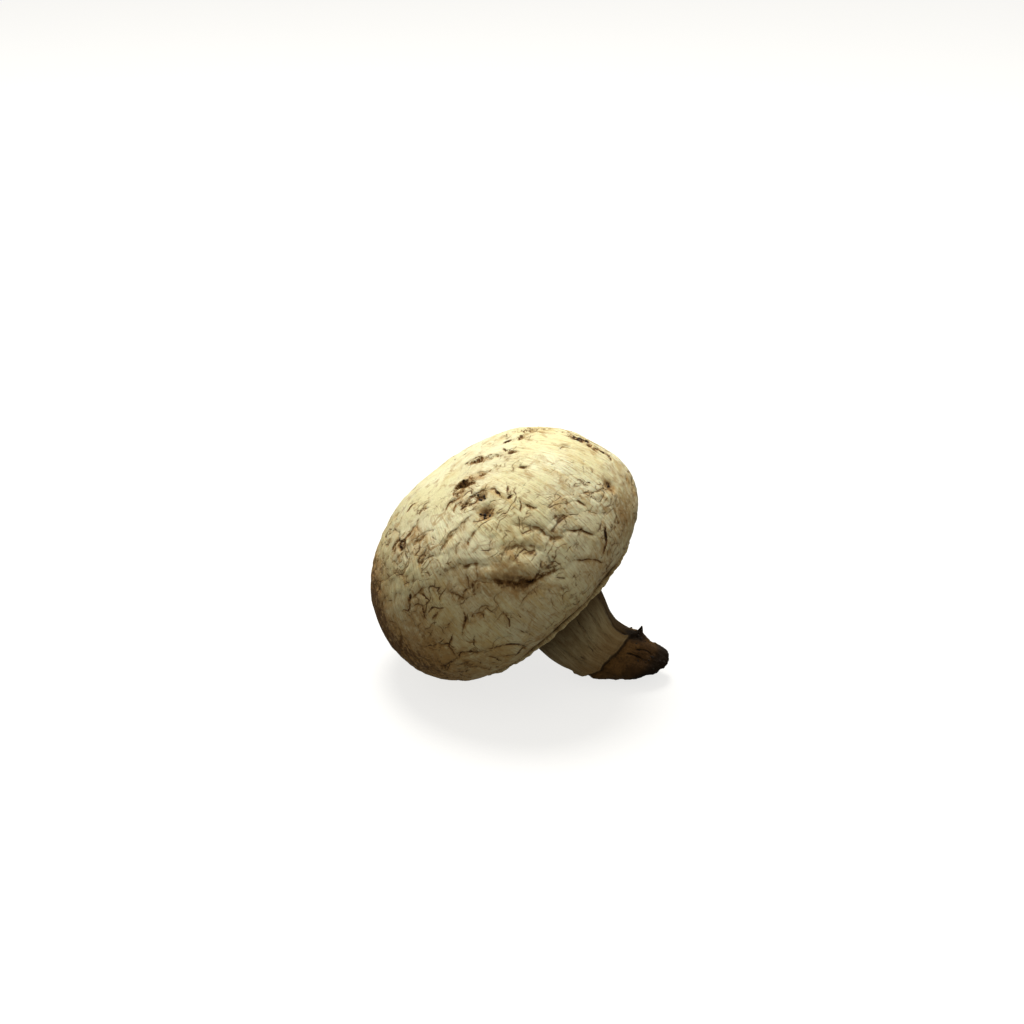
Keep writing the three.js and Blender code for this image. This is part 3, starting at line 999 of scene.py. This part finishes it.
def stem_paint():
    p = Paint("stem_flesh")
    place = p.vector("upright_place")
    run = p.vector("fibre_place")
    past, side, foot = p.split(p.vector("edges"))
    peel, knot, stain = p.split(p.vector("tints"))
    fibres = p.noise(run, 0.9, 4.0, 0.6, 0.3)
    threads = p.noise(run, 3.2, 4.0, 0.65)
    patches = p.noise(place, 0.25, 4.0, 0.6, 0.5)
    fine = p.noise(place, 1.4, 5.0, 0.7)

    colour = p.mix(p.ramp(fibres, 0.35, 0.65), (0.36, 0.28, 0.14), (0.54, 0.455, 0.26))
    colour = p.mix(p.ramp(threads, 0.48, 0.66, 0.0, 0.7), colour, (0.20, 0.12, 0.05))
    colour = p.mix(p.ramp(patches, 0.5, 0.7, 0.0, 0.55), colour, (0.30, 0.20, 0.09))
    colour = p.mix(p.ramp(past, -8.0, -1.0, 0.0, 0.65), colour, (0.24, 0.135, 0.045))
    colour = p.mix(p.ramp(peel, 0.2, 0.8, 0.0, 0.85), colour, (0.070, 0.036, 0.012))
    near_peel = p.ramp(p.math("ABSOLUTE", side), 5.0, 1.0)
    peel_edge = p.times(near_peel, p.ramp(past, 0.0, -6.0, 1.0, 0.6))
    colour = p.mix(p.times(peel_edge, p.ramp(past, 1.0, -1.0, 0.0, 0.85)), colour, DARK)
    end = p.mix(p.ramp(patches, 0.42, 0.62), (0.150, 0.075, 0.021), (0.070, 0.033, 0.009))
    end = p.mix(p.ramp(past, 1.5, 5.0, 0.0, 0.65), end, (0.045, 0.021, 0.006))
    end = p.mix(p.ramp(fine, 0.5, 0.7, 0.0, 0.7), end, (0.03, 0.016, 0.007))
    colour = p.mix(foot, colour, end)
    rim = p.times(p.ramp(p.math("ABSOLUTE", past), 0.45, 0.05), p.ramp(fine, 0.3, 0.5, 0.5, 1.0))
    colour = p.mix(p.times(rim, 0.9), colour, DARK)
    colour = p.mix(p.ramp(knot, 0.15, 0.8, 0.0, 0.92), colour, (0.014, 0.008, 0.004))
    # Stains, darker in the foot's hollows, with painted shade under the tears' lifted edges.
    colour = p.mix(p.ramp(stain, 0.0, 0.8, 0.0, 0.7), colour, BROWN)
    height = grain_height(p, ((fibres, 0.4), (threads, 0.5), (fine, 0.4)))
    # Painted shade: the stem darkens towards its top, under the cap.
    stem_top_painted_shade = p.ramp(p.split(place)[2], -11.5, -2.0, 0.0, 0.9)
    colour = p.mix(stem_top_painted_shade, colour, (0.085, 0.048, 0.015))
    cover, tone, _ = p.line("cracks", 0.05, 0.22)
    shade = p.times(cover, tone)
    colour = p.mix(p.ramp(shade, 0.05, 0.7, 0.0, 0.9), colour, DARK)
    height = p.math("MULTIPLY_ADD", shade, -0.9, height)
    return p.finish(colour, height, 0.34, 0.75, Specular_IOR_Level=0.12)


def veil_paint():
    p = Paint("veil_tissue")
    place = p.vector("upright_place")
    run = p.vector("fibre_place")
    loose, radius = p.number("loose"), p.number("radius")
    threads = p.noise(run, 3.0, 4.0, 0.65)
    patches = p.noise(place, 0.4, 4.0)
    colour = p.mix(p.ramp(threads, 0.35, 0.65), (0.40, 0.29, 0.13), (0.60, 0.47, 0.24))
    colour = p.mix(p.ramp(patches, 0.5, 0.7, 0.0, 0.6), colour, TAN)
    colour = p.mix(p.ramp(loose, 0.5, 1.0, 0.0, 0.7), colour, (0.16, 0.09, 0.035))
    skinny = p.mix(p.ramp(threads, 0.4, 0.65, 0.0, 0.7), (0.66, 0.56, 0.30), TAN)
    colour = p.mix(p.ramp(radius, 17.5, 18.6), colour, skinny)
    return p.finish(colour, threads, 0.3, 0.75, Specular_IOR_Level=0.15)


def gill_paint():
    p = Paint("gill_flesh_brown")
    place = p.vector("upright_place")
    shade = p.noise(place, 0.8, 4.0)
    colour = p.mix(p.ramp(shade, 0.35, 0.65), (0.17, 0.085, 0.055), (0.26, 0.145, 0.10))
    return p.finish(colour, shade, 0.05, 0.8)


def soil_paint():
    return Paint("dry_soil").settle(Base_Color=(0.022, 0.013, 0.007, 1), Roughness=0.9)


# ==== Stage ====
def toward(azimuth, elevation):
    """The direction of a place as seen from the mushroom, with azimuth 0 in front of it."""
    turn, rise = math.radians(azimuth), math.radians(elevation)
    return Vector((math.sin(turn) * math.cos(rise), -math.cos(turn) * math.cos(rise), math.sin(rise)))


def stand(name, data, place, back):
    """Puts a camera or a lamp at a place, facing the other way from back."""
    thing = new_object(name, data)
    thing.location = place
    thing.rotation_euler = (-back).to_track_quat("-Z", "Y").to_euler()
    return thing


def make_floor():
    mesh = bpy.data.meshes.new("floor")
    corners = [(FLOOR_HALF * x, FLOOR_HALF * y, 0) for x, y in ((-1, -1), (1, -1), (1, 1), (-1, 1))]
    mesh.from_pydata(corners, [], [(0, 1, 2, 3)])
    floor = new_object("floor", mesh)
    p = Paint("pale_floor")
    mesh.materials.append(p.settle(Base_Color=FLOOR_COLOUR, Roughness=0.8, Emission_Color=FLOOR_GLOW,
                                   Emission_Strength=FLOOR_BRIGHTNESS))
    floor.visible_diffuse = False
    floor.visible_glossy = False


def make_camera():
    data = bpy.data.cameras.new("camera")
    data.lens = CAMERA_LENS
    data.sensor_width = 36
    data.clip_start = 0.01
    back = toward(CAMERA_AZIMUTH, CAMERA_ELEVATION)
    place = (Vector(CAMERA_AIM) + back * CAMERA_DISTANCE) * MM
    bpy.context.scene.camera = stand("camera", data, place, back)


def make_light(name, azimuth, elevation, distance, size, power, colour):
    data = bpy.data.lights.new(name, "AREA")
    data.shape = "DISK"
    data.size = size
    data.energy = power
    data.color = colour
    back = toward(azimuth, elevation)
    stand(name, data, back * distance + Vector(LIGHT_AIM), back)


def make_world():
    """Soft light from every side, brighter from above than from below."""
    world = bpy.data.worlds.new("studio")
    bpy.context.scene.world = world
    world.use_nodes = True
    nodes, links = world.node_tree.nodes, world.node_tree.links
    background = nodes["Background"]
    background.inputs["Color"].default_value = WORLD_COLOUR
    way = nodes.new("ShaderNodeTexCoord")
    split = nodes.new("ShaderNodeSeparateXYZ")
    links.new(way.outputs["Generated"], split.inputs[0])
    rise = nodes.new("ShaderNodeMapRange")
    links.new(split.outputs[2], rise.inputs["Value"])
    for name, value in (("From Min", -0.4), ("From Max", 0.9), ("To Min", WORLD_BELOW),
                        ("To Max", WORLD_ABOVE)):
        rise.inputs[name].default_value = value
    seen = nodes.new("ShaderNodeLightPath").outputs["Is Camera Ray"]
    links.new(rise.outputs["Result"], background.inputs["Strength"])
    backdrop = nodes.new("ShaderNodeBackground")
    backdrop.inputs["Color"].default_value = BACKDROP_COLOUR
    backdrop.inputs["Strength"].default_value = BACKDROP
    either = nodes.new("ShaderNodeMixShader")
    for socket, value in zip(either.inputs, (seen, background.outputs[0], backdrop.outputs[0])):
        links.new(value, socket)
    links.new(either.outputs[0], nodes["World Output"].inputs["Surface"])


make_camera()
make_world()
make_floor()
make_light("top_light", **TOP_LIGHT)
bpy.context.scene.view_settings.view_transform = "Standard"

cap_piece = make_cap(cap_paint())
stem_piece = make_stem(stem_paint())
make_veil(veil_paint())
make_gills(gill_paint())
make_soil(cap_piece.data, stem_piece.data, soil_paint())
